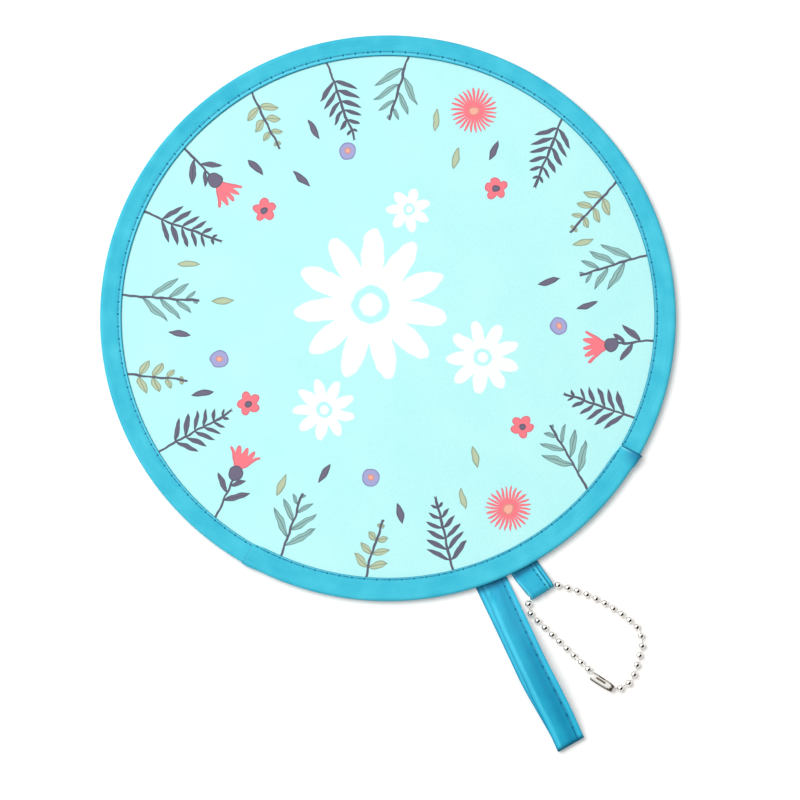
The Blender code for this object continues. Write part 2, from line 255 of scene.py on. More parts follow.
def sprig(tree, along, across, length, pitch, leaf, half, lean, stagger):
    """Depths inside the paired leaves, their midribs and the stem of a sprig that grows along. The
    leaves stand a pitch apart, reach out by leaf and thin by half, and lean towards the tip. A
    stagger sets those of one side behind the other's."""
    rib_half, stem_half, least_leaf = 0.2, 0.42, 0.6
    off = add(tree, "Math", across, operation="ABSOLUTE")
    side = add(tree, "Math", across, operation="SIGN")
    root = add(tree, "Math", off, -lean, along, operation="MULTIPLY_ADD")
    shifted = add(tree, "Math", side, stagger * pitch, root, operation="MULTIPLY_ADD")
    cell = add(tree, "Math", shifted, pitch / 2, -pitch / 2, operation="WRAP")
    cell = add(tree, "Math", cell, operation="ABSOLUTE")
    share = add(tree, "Math", root, 1 / length, operation="MULTIPLY")
    share = add(tree, "Math", share, 2.2, operation="POWER")
    reach = add(tree, "Math", share, -leaf, leaf, operation="MULTIPLY_ADD")
    reach = add(tree, "Math", reach, least_leaf, operation="MAXIMUM")
    out = add(tree, "Math", off, reach, operation="DIVIDE")
    rest = add(tree, "Math", 1, out, operation="SUBTRACT")
    bulge = add(tree, "Math", out, rest, operation="MULTIPLY")
    slim = add(tree, "Math", share, -2.6 * half, 4 * half, operation="MULTIPLY_ADD")
    leaves = add(tree, "Math", bulge, slim, operation="MULTIPLY")
    leaves = add(tree, "Math", leaves, cell, operation="SUBTRACT")
    ahead = add(tree, "Math", length, root, operation="SUBTRACT")
    leaves = add(tree, "Math", leaves, ahead, operation="MINIMUM")
    clear = add(tree, "Math", shifted, pitch / 2, operation="SUBTRACT")
    leaves = add(tree, "Math", leaves, clear, operation="MINIMUM")
    rib = add(tree, "Math", rib_half, cell, operation="SUBTRACT")
    rib = add(tree, "Math", rib, add(tree, "Math", leaves, 0.35, operation="SUBTRACT"), operation="MINIMUM")
    stem = add(tree, "Math", stem_half, off, operation="SUBTRACT")
    tip = add(tree, "Math", length, along, operation="SUBTRACT")
    stem = add(tree, "Math", stem, tip, operation="MINIMUM")
    return leaves, rib, stem


def flower(tree, along, across, centre, radius, petals, notch):
    """Depth inside a flower of round petals, and the distance and the turn from its centre."""
    distance, turn = polar(tree, add(tree, "Math", along, centre, operation="SUBTRACT"), across)
    wave = add(tree, "Math", turn, petals / 2, operation="MULTIPLY")
    wave = add(tree, "Math", wave, operation="COSINE")
    wave = add(tree, "Math", wave, operation="ABSOLUTE")
    edge = add(tree, "Math", wave, radius * notch, radius * (1 - notch), operation="MULTIPLY_ADD")
    depth = add(tree, "Math", edge, distance, operation="SUBTRACT")
    return depth, distance, turn


def ink_over(tree, under, depth, colour, edge_colour, when=None):
    """Lays an ink, with its darker drawn edge, over the colour under it."""
    inked = add(tree, "Math", depth, 7, 0.5, operation="MULTIPLY_ADD", use_clamp=True)
    if when is not None:
        inked = add(tree, "Math", inked, when, operation="MULTIPLY")
    inside = add(tree, "Math", depth, 3, -0.6, operation="MULTIPLY_ADD", use_clamp=True)
    tone = add(tree, "Mix", inside, named={6: linear(edge_colour), 7: linear(colour)}, data_type="RGBA")
    return add(tree, "Mix", inked, named={6: under, 7: tone.outputs[2]}, data_type="RGBA").outputs[2]


def dot_over(tree, under, size, distance, colour, edge_colour, when=None):
    """Lays a round dot over the colour under it."""
    depth = add(tree, "Math", size, distance, operation="SUBTRACT")
    return ink_over(tree, under, depth, colour, edge_colour, when)


def ring_cell(tree, radius, turn, ring_radius, seed, motifs, phase=0):
    """Splits a ring of the print into cells and gives, in each, its own tilted axes in mm and its motif."""
    spreads = (3, 4, 0.7)
    count = len(motifs)
    cells = add(tree, "Math", turn, count / math.tau, count / 2 + phase, operation="MULTIPLY_ADD")
    cells = add(tree, "Math", cells, count, 0, operation="WRAP")
    number = add(tree, "Math", cells, operation="FLOOR")
    share = add(tree, "Math", cells, operation="FRACT")
    off = add(tree, "Math", share, 0.5, operation="SUBTRACT")
    off = add(tree, "Math", off, math.tau / count, operation="MULTIPLY")
    seeded = add(tree, "Math", number, seed, operation="ADD")
    random = add(tree, "TexWhiteNoise", named={1: seeded}, noise_dimensions="1D")
    random = add(tree, "SeparateColor", random.outputs[1])
    aside, deeper, tilt = [add(tree, "Math", drawn, spread, -spread / 2, operation="MULTIPLY_ADD")
                           for drawn, spread in zip(random.outputs, spreads)]
    cosine = add(tree, "Math", off, operation="COSINE")
    sine = add(tree, "Math", off, operation="SINE")
    inward = add(tree, "Math", radius, cosine, operation="MULTIPLY")
    inward = add(tree, "Math", ring_radius, inward, operation="SUBTRACT")
    inward = add(tree, "Math", inward, deeper, operation="ADD")
    across = add(tree, "Math", radius, sine, operation="MULTIPLY")
    across = add(tree, "Math", across, aside, operation="ADD")
    place = add(tree, "CombineXYZ", inward, across)
    place = add(tree, "VectorRotate", place, named={3: tilt}, rotation_type="Z_AXIS")
    place = add(tree, "SeparateXYZ", place)
    position = add(tree, "Math", number, 1 / count, 0.5 / count, operation="MULTIPLY_ADD")
    chart = add(tree, "ValToRGB", position)
    chart.color_ramp.interpolation = "CONSTANT"
    stops = chart.color_ramp.elements
    for n, motif in enumerate(motifs):
        stop = stops[n] if n < 2 else stops.new(n / count)
        stop.position = n / count
        stop.color = (motif / 10, motif / 10, motif / 10, 1)
    return place.outputs[0], place.outputs[1], chart


def is_motif(tree, chart, motif):
    """1 in the cells that hold the motif, and 0 in the others."""
    return add(tree, "Math", chart, motif / 10, 0.02, operation="COMPARE")


def printed_ground(tree, ground, x, y):
    """Lays the print over the ground colour: a wreath that grows in from the rim, a ring of loose
    leaves, one of small flowers and leaves, and plain white daisies in the middle."""
    radius, turn = polar(tree, x, y)
    slate, slate_edge = "#6A5C78", "#4B4359"
    sage, sage_edge = "#93BDB8", "#5E7F85"
    olive, olive_edge = "#BFCBA6", "#8D9C84"
    coral, coral_edge = "#FF7482", "#E2576B"
    lavender, lavender_edge = "#A8A6D8", "#7E7BB4"
    peach, peach_edge = "#FFB29C", "#DE8876"
    white, white_edge = "#FFFFFF", "#F4FFFF"

    # 1, 2 and 5 are leafy sprigs, 3 is a cup on a short sprig, and 4 is a burst of thin petals
    wreath = [1, 3, 2, 5, 1, 4, 2, 1, 3, 2, 5, 1, 4, 2, 1, 5, 3, 1, 2, 5]
    along, across, chart = ring_cell(tree, radius, turn, 91.5, 3.7, wreath)
    sprigs = ((1, (26, 3.7, 7.2, 1.15, 0.75, 0), slate, slate_edge),
              (2, (24, 6, 8.6, 1.9, 1.1, 0.25), sage, sage_edge),
              (5, (22, 4.9, 6.4, 1.7, 0.5, 0), olive, olive_edge),
              (3, (15, 6, 7.6, 1.7, 0.9, 0.25), slate, slate_edge))
    for motif, shape, leaf_ink, rib_ink in sprigs:
        when = is_motif(tree, chart, motif)
        leaves, rib, stem = sprig(tree, along, across, *shape)
        ground = ink_over(tree, ground, leaves, leaf_ink, rib_ink, when)
        ground = ink_over(tree, ground, rib, rib_ink, rib_ink, when)
        ground = ink_over(tree, ground, stem, slate, slate_edge, when)

    cups = is_motif(tree, chart, 3)
    cup, distance, around = flower(tree, along, across, 15, 10, 22, 0.3)
    open_side = add(tree, "Math", around, operation="ABSOLUTE")
    open_side = add(tree, "Math", 0.62, open_side, operation="SUBTRACT")
    open_side = add(tree, "Math", open_side, distance, operation="MULTIPLY")
    cup = add(tree, "Math", cup, open_side, operation="MINIMUM")
    ground = ink_over(tree, ground, cup, coral, coral_edge, cups)
    ground = dot_over(tree, ground, 2.6, distance, slate, slate_edge, cups)

    bursts = is_motif(tree, chart, 4)
    burst, distance, around = flower(tree, along, across, 12, 8, 26, 0.62)
    ground = ink_over(tree, ground, burst, coral, coral_edge, bursts)
    ground = dot_over(tree, ground, 1.8, distance, peach, peach_edge, bursts)

    # 6 is a blossom, 7 and 9 are loose leaves, 8 is a button flower, and 0 is bare
    scatter = [6, 0, 7, 8, 0, 9, 6, 0, 8, 7, 0, 6, 9, 0, 8, 7, 6, 0, 9, 8]
    gaps = [7, 0, 9, 0, 7, 9, 0, 0, 0, 7, 9, 0, 7, 9, 0, 7, 7, 0, 9, 7]
    half_leaf, half_width = 4, 1.2
    for motifs, reach, seed, phase in ((gaps, 71, 5.1, 0.5), (scatter, 59, 11.3, 0)):
        along, across, chart = ring_cell(tree, radius, turn, reach, seed, motifs, phase)
        square = add(tree, "Math", along, along, operation="MULTIPLY")
        width = add(tree, "Math", square, -half_width / half_leaf ** 2, half_width,
                    operation="MULTIPLY_ADD")
        off = add(tree, "Math", across, operation="ABSOLUTE")
        leaf = add(tree, "Math", width, off, operation="SUBTRACT")
        ground = ink_over(tree, ground, leaf, slate, slate_edge, is_motif(tree, chart, 7))
        ground = ink_over(tree, ground, leaf, olive, olive_edge, is_motif(tree, chart, 9))
        blossom, distance, around = flower(tree, along, across, 0, 4.2, 5, 0.36)
        when = is_motif(tree, chart, 6)
        ground = ink_over(tree, ground, blossom, coral, coral_edge, when)
        ground = dot_over(tree, ground, 1.2, distance, slate, slate_edge, when)
        when = is_motif(tree, chart, 8)
        ground = dot_over(tree, ground, 3.1, distance, lavender, lavender_edge, when)
        ground = dot_over(tree, ground, 1.1, distance, peach, peach_edge, when)

    daisies = ((-4, 6, 27, 11), (25, -26, 13, 9), (-33, -22, 11, 9), (21, 32, 8, 7))
    for place_x, place_y, size, petals in daisies:
        east = add(tree, "Math", x, place_x, operation="SUBTRACT")
        north = add(tree, "Math", y, place_y, operation="SUBTRACT")
        daisy, distance, around = flower(tree, east, north, 0, size, petals, 0.5)
        eye = add(tree, "Math", distance, size * 0.24, operation="SUBTRACT")
        daisy = add(tree, "Math", daisy, eye, operation="MINIMUM")
        ground = ink_over(tree, ground, daisy, white, white_edge)
        ground = dot_over(tree, ground, size * 0.15, distance, white, white_edge)
    return ground


def make_nonwoven():
    """Spun-bonded polypropylene, screen printed: a matt pale aqua felt of fine fibres, pressed with a
    grid of small bond points. Gives a soft, faintly mottled ground, with inks that sink into it."""
    finish, tree, shader = new_finish("spunbond_nonwoven_printed")
    place = add(tree, "TexCoord").outputs["Object"]
    in_mm = add(tree, "VectorMath", place, named={3: 1 / MM}, operation="SCALE")
    cloud = add(tree, "TexNoise", in_mm, named={"Scale": 0.045, "Detail": 3}).outputs[0]
    fibre = add(tree, "TexNoise", in_mm, named={"Scale": 1.4, "Detail": 4, "Roughness": 0.7}).outputs[0]
    ground = add(tree, "Mix", cloud, named={6: linear("#B4F9F8"), 7: linear("#C8FFFE")}, data_type="RGBA")
    grain = add(tree, "Math", fibre, 0.16, 0.92, operation="MULTIPLY_ADD")
    ground = add(tree, "VectorMath", ground.outputs[2], named={3: grain}, operation="SCALE")

    # The outlines of the print wobble by up to 0.8 mm, over about 5 mm, as if drawn by hand
    wobble = add(tree, "TexNoise", in_mm, named={"Scale": 0.2, "Detail": 1}).outputs[1]
    wobble = add(tree, "VectorMath", wobble, (0.5, 0.5, 0.5), operation="SUBTRACT")
    drawn = add(tree, "VectorMath", wobble, (1.6, 1.6, 0), in_mm, operation="MULTIPLY_ADD")
    drawn = add(tree, "SeparateXYZ", drawn)
    printed = printed_ground(tree, ground, drawn.outputs[0], drawn.outputs[1])
    height = add(tree, "SeparateXYZ", in_mm).outputs[2]

    # The print lies on the front, and shows through on the back at about a third of its strength
    front = add(tree, "Math", height, 0.1, operation="GREATER_THAN")
    strength = add(tree, "Math", front, 0.62, 0.34, operation="MULTIPLY_ADD")
    colour = add(tree, "Mix", strength, named={6: ground, 7: printed}, data_type="RGBA").outputs[2]

    # Bond points pressed by the calender, one each 1.3 mm, over fibres about 0.3 mm apart
    dots = add(tree, "TexVoronoi", in_mm, named={"Scale": 1 / 1.3, "Randomness": 0.15}).outputs[0]
    dots = add(tree, "Math", dots, 2.2, operation="MULTIPLY", use_clamp=True)
    relief = add(tree, "Math", fibre, 0.6, dots, operation="MULTIPLY_ADD")
    bump = add(tree, "Bump", named={"Strength": 0.35, "Distance": 0.06 * MM, "Height": relief})
    matt = add(tree, "Math", fibre, 0.2, 0.7, operation="MULTIPLY_ADD")
    feed(tree, shader, {"Base Color": colour, "Normal": bump, "Roughness": matt, "Sheen Weight": 0.15})
    return finish


def make_tape_cloth(name, light, dark, rib_pitch, roughness, bands, hole_row, hole_pitch, cut_ends=(),
                    bands_across=()):
    """Woven polyester tape, piece dyed teal, on the tape's own UV map, which is in mm. Gives the close
    weave of its ribs and slight dye clouds, and paints light and shade into its colour: painted
    highlights and painted shade in bands along its length, painted shade and painted highlights in
    bands across it at its fold and its root, the needle holes of its seam dented and darkened as
    painted shade and, at a cut end, a painted shadow line along its edge with a painted highlight at
    its fold. A band along or across is (middle, half width, strength, ink), and a cut end is (place
    along, strength)."""
    cut_highlight_ink, cut_shade_ink, cut_shadow_line_ink, hole_shade_ink = "#74E0F4", "#0F7AAC", "#0C7396", "#0A6C90"
    finish, tree, shader = new_finish(name)
    uv = add(tree, "UVMap").outputs[0]
    split = add(tree, "SeparateXYZ", uv)
    ribs = [add(tree, "Math", way, math.tau / rib_pitch, operation="MULTIPLY") for way in split.outputs[:2]]
    warp, weft = [add(tree, "Math", rib, operation="SINE") for rib in ribs]
    weave = add(tree, "Math", warp, weft, operation="MULTIPLY")
    slubs = add(tree, "VectorMath", uv, (0.12, 2.2, 1), operation="MULTIPLY")
    slubs = add(tree, "TexNoise", slubs, named={"Scale": 1, "Detail": 3}).outputs[0]
    clouds = add(tree, "TexNoise", uv, named={"Scale": 0.11, "Detail": 2}).outputs[0]
    tone = add(tree, "Math", slubs, 0.5, clouds, operation="MULTIPLY_ADD")
    tone = add(tree, "Math", weave, 0.08, tone, operation="MULTIPLY_ADD")
    tone = add(tree, "Math", tone, 1.6, -0.7, operation="MULTIPLY_ADD", use_clamp=True)
    colour = add(tree, "Mix", tone, named={6: linear(dark), 7: linear(light)}, data_type="RGBA").outputs[2]
    outer = add(tree, "Math", split.outputs[1], operation="ABSOLUTE")
    # Slub noise makes the strength of the painted bands of light and shade uneven
    wear_and_painted_band_noise = add(tree, "Math", slubs, 0.9, 0.55, operation="MULTIPLY_ADD")
    layers = []
    # Bands along and across the tape are painted highlights and painted shade
    lines = [(outer, *band) for band in bands] + [(split.outputs[0], *crease) for crease in bands_across]
    for reach, middle, spread, strength, ink in lines:
        off = add(tree, "Math", reach, middle, operation="SUBTRACT")
        off = add(tree, "Math", off, 1 / spread, operation="MULTIPLY")
        off = add(tree, "Math", off, off, operation="MULTIPLY")
        off = add(tree, "Math", off, -1, operation="MULTIPLY")
        band = add(tree, "Math", off, operation="EXPONENT")
        band_strength = add(tree, "Math", wear_and_painted_band_noise, strength, operation="MULTIPLY")
        layers.append((add(tree, "Math", band, band_strength, operation="MULTIPLY", use_clamp=True), ink))

    # A cut end has a painted highlight at its fold, painted shade where its tape rolls over the rim, and a
    # painted shadow line along its edge on top
    for end, strength in cut_ends:
        off = add(tree, "Math", split.outputs[0], end, operation="SUBTRACT")
        off = add(tree, "Math", off, operation="ABSOLUTE")
        ramps = ((off, -1.4 * strength, 2 * strength), (off, -0.17, 1), (outer, -0.3, 1.8),
                 (off, -4 * strength, 2.6 * strength), (outer, -2.5, 2.5 * (hole_row - 0.2)))
        fold, shade, rolled, edge, inside = [
            add(tree, "Math", *ramp, operation="MULTIPLY_ADD", use_clamp=True) for ramp in ramps]
        shade = add(tree, "Math", shade, rolled, operation="MULTIPLY")
        shade = add(tree, "Math", shade, strength, operation="MULTIPLY")
        edge = add(tree, "Math", edge, inside, operation="MULTIPLY")
        layers += [(fold, cut_highlight_ink), (shade, cut_shade_ink), (edge, cut_shadow_line_ink)]

    # Needle holes of the seam: dented in the bump, and darkened as painted shade
    beside = add(tree, "Math", split.outputs[0], hole_pitch / 2, -hole_pitch / 2, operation="WRAP")
    off = add(tree, "Math", outer, hole_row, operation="SUBTRACT")
    away = add(tree, "CombineXYZ", beside, off)
    away = add(tree, "VectorMath", away, operation="LENGTH").outputs["Value"]
    hole = add(tree, "MapRange", away, 0.8 * hole_radius / MM, 1.6 * hole_radius / MM, 1, 0, clamp=True)
    for share, ink in layers + [(hole, hole_shade_ink)]:
        colour = add(tree, "Mix", share, named={6: colour, 7: linear(ink)}, data_type="RGBA").outputs[2]
    relief = add(tree, "Math", slubs, 0.8, weave, operation="MULTIPLY_ADD")
    relief = add(tree, "Math", hole, -4, relief, operation="MULTIPLY_ADD")
    bump = add(tree, "Bump", named={"Strength": 0.35, "Distance": 0.06 * MM, "Height": relief})
    gloss = add(tree, "Math", slubs, 0.16, roughness - 0.08, operation="MULTIPLY_ADD")
    feed(tree, shader, {"Base Color": colour, "Normal": bump, "Roughness": gloss,
                        "Specular IOR Level": 0.12, "Sheen Weight": 0.04})
    return finish


def make_thread():
    """Spun polyester sewing thread, two ply: a small round cord a little deeper than the cloth, whose
    plies turn once in 0.5 mm."""
    finish, tree, shader = new_finish("spun_polyester_thread")
    place = add(tree, "TexCoord").outputs["Object"]
    ply_turn = 0.5 * MM
    twist = add(tree, "TexWave", place, named={"Scale": 1 / ply_turn / math.tau, "Distortion": 1.5},
                wave_type="BANDS", bands_direction="DIAGONAL").outputs[1]
    colour = add(tree, "Mix", twist, named={6: linear("#08709A"), 7: linear("#2399BF")}, data_type="RGBA")
    bump = add(tree, "Bump", named={"Strength": 0.4, "Distance": 0.05 * MM, "Height": twist})
    feed(tree, shader, {"Base Color": colour.outputs[2], "Normal": bump, "Roughness": 0.6,
                        "Sheen Weight": 0.2})
    return finish


def make_nickel(name, light, dark, roughness):
    """Plated steel, barrel tumbled: bright, with faint rubbed wear in patches about 1 mm across."""
    finish, tree, shader = new_finish(name)
    place = add(tree, "TexCoord").outputs["Object"]
    wear_and_painted_band_noise = add(tree, "TexNoise", place, named={"Scale": 900, "Detail": 3}).outputs[0]
    colour = add(tree, "Mix", wear_and_painted_band_noise, named={6: linear(dark), 7: linear(light)}, data_type="RGBA")
    gloss = add(tree, "Math", wear_and_painted_band_noise, 0.12, roughness - 0.05, operation="MULTIPLY_ADD")
    bump = add(tree, "Bump", named={"Strength": 0.08, "Distance": 0.02 * MM, "Height": wear_and_painted_band_noise})
    feed(tree, shader, {"Base Color": colour.outputs[2], "Roughness": gloss, "Normal": bump, "Metallic": 1})
    return finish


nonwoven = make_nonwoven()

# Bias tape of the rim, matt: painted shade in the groove at its row of stitches, a painted highlight on the
# ridge beside it and a painted shadow line at its inner edge
bend_length = math.pi / 2 * rim_half_thickness
rim_rows = [(wire_ring_radius - fan_radius + width - stitch_inset + bend_length) / MM
            for width in (long_tape_width, short_tape_width)]
# Each row has painted shade in its groove, a painted highlight on its ridge and a painted shadow line at
# the inner edge
rim_bands = [((row, 0.15, 0.45, "#1582AB"), (row + 0.5, 0.3, 0.5, "#72DFF3"),
              (row + 1, 0.17, 0.9, "#0C7396")) for row in rim_rows]
rim_cuts = [((math.radians(short_tape_start_angle) * fan_radius - seam_lap) / MM, 0.12),
            ((math.radians(short_tape_end_angle) * fan_radius + seam_lap) / MM, 1)]
bias_tape_long = make_tape_cloth("polyester_bias_tape_teal", "#50D2E9", "#32BAD8", 0.8, 0.55,
                                 rim_bands[0], rim_rows[0], stitch_pitch / MM)
bias_tape_short = make_tape_cloth("polyester_bias_tape_cut_ends", "#50D2E9", "#32BAD8", 0.8, 0.55,
                                  rim_bands[1], rim_rows[1], stitch_pitch / MM, rim_cuts)

# Satin tape of the strap and the tab, glossier and deeper: painted highlights along its edges and strips,
# painted shade in its middle and beside its seam, painted shade at its end fold, a wide painted highlight
# near its root, and a painted shadow where it goes in under the rim
strap_row = 7.75
# Across the strap: a painted shadow line at the left edge, a painted highlight band, painted shade in the
# middle, painted shade in the seam groove and a painted highlight on the right strip
strap_bands = ((0.1, 0.18, 0.8, "#0E84B0"), (1.25, 0.65, 0.7, "#50DDF9"), (5.8, 1.8, 0.5, "#0B7CAC"),
               (strap_row, 0.22, 0.9, "#07598A"), (9, 0.6, 0.7, "#40D0F2"))
# Along the strap: painted shade at the end fold, a wide painted highlight near the root, and a painted
# shadow of the rim on the lower and the upper run at the root
strap_bands_across = [((strap_reach + root_far) / MM + 0.4, 0.8, 0.8, "#0A5F7C"),
                 (2 * strap_reach / MM, 14, 0.25, "#4CD2F2"),
                 (root_far / MM - 1, 1.3, 0.7, "#0A5A86"),
                 ((2 * strap_reach + root_far) / MM + 0.8, 1.3, 0.7, "#0A5A86")]
strap_satin = make_tape_cloth("polyester_satin_tape_strap", "#2ABBDD", "#1A9EC6", 0.6, 0.36,
                              strap_bands, strap_row, stitch_pitch / MM, (), strap_bands_across)
tab_row = 7.2
# Across the tab: painted shadow lines at its edges and in its groove, painted highlights on its ridges, and
# painted shade at its seam
tab_bands = ((0.1, 0.13, 0.6, "#12799E"), (0.5, 0.35, 0.6, "#5FDDF5"), (tab_row, 0.3, 0.35, "#0F7CA6"),
             (7.95, 0.4, 0.8, "#5ADCF5"), (8.6, 0.22, 0.9, "#0A5F86"), (9.2, 0.3, 0.6, "#45C6E2"),
             (9.95, 0.2, 0.9, "#0E6C92"))
# Along the tab: a painted shadow of the rim at its root
tab_satin = make_tape_cloth("polyester_satin_tape_tab", "#3AC4E2", "#25A9CE", 0.6, 0.36,
                            tab_bands, tab_row, stitch_pitch / 2 / MM, (), [(29.5, 1.3, 0.7, "#0A5A86")])

# Thread, bright plating, a dull brown plating that also serves as painted shade and painted reflection on
# the clasp, and the hoop's oiled spring steel
thread = make_thread()
nickel = make_nickel("nickel_plate_bright", "#F6F4F0", "#E2DED8", 0.09)
nickel_dull_and_painted_shade = make_nickel("nickel_plate_dull_and_painted_shade", "#75695D", "#463C33", 0.45)
spring_steel = make_nickel("spring_steel_oiled", "#9A9A98", "#77787A", 0.3)
for node in ("hoop_wire", "hoop_ferrule"):
    for material_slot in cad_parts[node].material_slots:
        material_slot.material = spring_steel


def build_fabric():
    """The taut disc. It ripples very slightly between the hoop's pulls, and lies flat in its hem."""
    ripple_height, ripple_pitch, ripple_reach, hem_taper = 0.3 * MM, 38 * MM, 88 * MM, 1.5 * MM
    radii = [0, 1.5 * MM] + [3 * MM * n for n in range(1, 31)]
    radii += [fabric_flat_radius, 92 * MM, 95 * MM, hem_radius]
    top = [(r, fabric_half) for r in radii]
    back = [(r, -fabric_half) for r in reversed(radii)]
    bm = turn_section(top + back, False, 360, 144)
    for vert in bm.verts:
        reach = vert.co.xy.length
        if reach > fabric_flat_radius:
            hemmed = min((reach - fabric_flat_radius) / hem_taper, 1)
            vert.co.z *= 1 + (hem_half / fabric_half - 1) * hemmed
        slack = max(0, 1 - (reach / ripple_reach) ** 4)
        wave = noise.noise(Vector((vert.co.x, vert.co.y, 0)) / ripple_pitch)
        vert.co.z += fabric_middle + ripple_height * slack * wave
    disc = finish_piece("fabric_disc_printed", bm, nonwoven, "fan", ["fabric_disc"])


def tape_section(width):
    """Closed section of the folded tape, as (radius, height over the fabric's middle): a rolled inner
    edge, the groove of the seam 1.5 mm from it, the bend round the hoop, and the same on the back."""
    edge = fan_radius - width
    top = [(-0.08, 0.45), (0.04, 0.62), (0.4, 0.74), (0.85, 0.7), (1.2, 0.6), (1.5, 0.52), (1.8, 0.6),
           (2.3, 0.68), (3.1, 0.72)]
    top = [(edge + r * MM, h * MM) for r, h in top] + [(96.4 * MM, 0.76 * MM), (97.3 * MM, 0.88 * MM)]
    bend = [(wire_ring_radius + math.copysign(abs(x) ** 0.8, x) * rim_half_thickness,
             math.copysign(abs(z) ** 0.8, z) * rim_half_thickness) for x, z in arc(1, 104, -104, 18)]
    under = arc(channel_radius, -115, 115, 10, wire_ring_radius)
    inner = [(96.6 * MM, 0.44 * MM), (edge + 1.5 * MM, 0.26 * MM), (edge + 0.1 * MM, 0.3 * MM)]
    back = [(r, -h) for r, h in top[::-1]]
    return top + bend + back + [(r, -h) for r, h in inner[::-1]] + under + inner


def build_tape(name, width, start, end, steps, node, finish, lapped):
    """A tape round its part of the rim, its groove moved to the seam's wandering line and drawn in at
    the stitches. A lapped tape's ends stand off the tape under them: the right end flares and
    bulges, and both are tucked in at the inner edge."""
    stitch_pull, groove_half, pucker_height, flat_height = 0.1 * MM, 0.7 * MM, 0.07 * MM, 0.4 * MM
    flare, flare_length, bulge, bulge_length = 0.3 * MM, 1.2 * MM, 0.35 * MM, 8 * MM
    tuck_in, tuck_length = 0.6 * MM, 6 * MM
    groove, past_seam = 1.5, 3.1
    bm = turn_section(tape_section(width), True, end - start, steps, start)
    for side in (start, end):
        out = direction(side)
        rim = [line for line in bm.edges if line.is_boundary
               and all(abs(vert.co.cross(out).z) < 1e-6 and vert.co.dot(out) > 0 for vert in line.verts)]
        bmesh.ops.contextual_create(bm, geom=rim)
    uv = bm.loops.layers.uv.new("tape_mm")
    edge = fan_radius - width
    for vert in bm.verts:
        angle = math.atan2(vert.co.y, vert.co.x)
        reach, height, inset = vert.co.xy.length, vert.co.z, seam_inset(angle)
        if edge < reach < edge + past_seam * MM:
            reach = edge + between([(0, 0), (groove, inset / MM), (past_seam, past_seam)], reach - edge)
        pull = math.cos(angle * fan_radius / stitch_pitch * math.tau) ** 8
        near = math.exp(-((reach - edge - inset) / groove_half) ** 2)
        pucker = noise.noise(Vector((angle * 30, 0, 0 if height > 0 else 9))) * pucker_height
        shape = height
        if abs(height) > flat_height:
            shape = height - math.copysign(stitch_pull * pull * near, height)
        shape += pucker * near
        lift = 0
        if lapped:
            from_end = min(angle - math.radians(start), math.radians(end) - angle) * fan_radius
            right = angle > math.radians(start + end) / 2
            lift = right_lap_lift if right else left_lap_lift
            lift *= 1 - ease(seam_lap, seam_lap + 3.5 * MM, from_end)
            if right:
                lift += flare * max(0, 1 - from_end / flare_length) ** 2
                near_bend = ease(94 * MM, 98 * MM, reach) * (height > 0)
                shape += bulge * near_bend * (1 - ease(0, bulge_length, from_end))
            tuck = tuck_in * (1 - ease(0, tuck_length, from_end))
            reach += tuck * (1 - ease(edge, edge + 3 * MM, reach))
        outwards = Vector((max(0, reach - wire_ring_radius), shape))
        outwards = outwards.normalized() * lift if outwards.length else Vector((0, 0))
        reach += outwards.x * 1.3
        place = Vector((math.cos(angle) * reach, math.sin(angle) * reach, fabric_middle + shape))
        vert.co = place + UP * outwards.y

    # The map runs along the rim, and across the tape from the hoop's outermost line to the inner edge,
    # stretched so that the seam keeps one row of the map wherever it wanders
    for face in bm.faces:
        for loop in face.loops:
            spot = loop.vert.co
            reach, height, angle = spot.xy.length, spot.z - fabric_middle, math.atan2(spot.y, spot.x)
            over = math.atan2(height, reach - wire_ring_radius) * rim_half_thickness
            if reach < wire_ring_radius:
                inset = seam_inset(angle)
                row = wire_ring_radius - edge - stitch_inset + bend_length
                seam = wire_ring_radius - edge - inset + bend_length
                over = wire_ring_radius - reach + bend_length
                over = over * row / seam if over < seam else row + (over - seam) * stitch_inset / inset
                over = math.copysign(over, height)
            loop[uv].uv = (angle * fan_radius / MM, over / MM)
    finish_piece(name, bm, finish, "fan", [node])


def stitch_row(name, body, places, length, radius):
    """One piece for a row of lockstitches, each a small spindle on its (point, direction, up)."""
    bm = bmesh.new()
    for point, along, up in places:
        place = place_along(point, along, up) @ Matrix.Diagonal((radius * 0.8, radius, length / 2, 1))
        bmesh.ops.create_uvsphere(bm, u_segments=6, v_segments=5, radius=1, matrix=place)
    return finish_piece(name, bm, thread, body)


def build_binding():
    """Both tapes of the rim, and a row of stitches through them on each side."""
    stitch_length, thread_radius, cloth_height = 3.2 * MM, 0.17 * MM, 0.58 * MM
    lap = math.degrees(seam_lap / fan_radius)
    start, end = short_tape_end_angle, short_tape_start_angle + 360
    build_tape("binding_tape_long", long_tape_width, start, end, 470, "binding_long", bias_tape_long, False)
    start, end = short_tape_start_angle - lap, short_tape_end_angle + lap
    build_tape("binding_tape_short", short_tape_width, start, end, 176, "binding_short",
               bias_tape_short, True)

    for side, name in ((1, "rim_stitches_front"), (-1, "rim_stitches_back")):
        places = []
        for n in range(stitch_count):
            turned = ((n + 0.5) * 360 / stitch_count + 180) % 360 - 180
            on_short = short_tape_start_angle - lap < turned < short_tape_end_angle + lap
            near_end = min(abs(turned - short_tape_start_angle), abs(turned - short_tape_end_angle))
            width = short_tape_width if on_short else long_tape_width
            lift = right_lap_lift if on_short and near_end < lap * 1.3 else 0
            reach = fan_radius - width + seam_inset(math.radians(turned))
            point = direction(turned) * reach + UP * (fabric_middle + side * (cloth_height + lift))
            places.append((point, direction(turned + 90), UP * side))
        stitch_row(name, "fan", places, stitch_length, thread_radius)


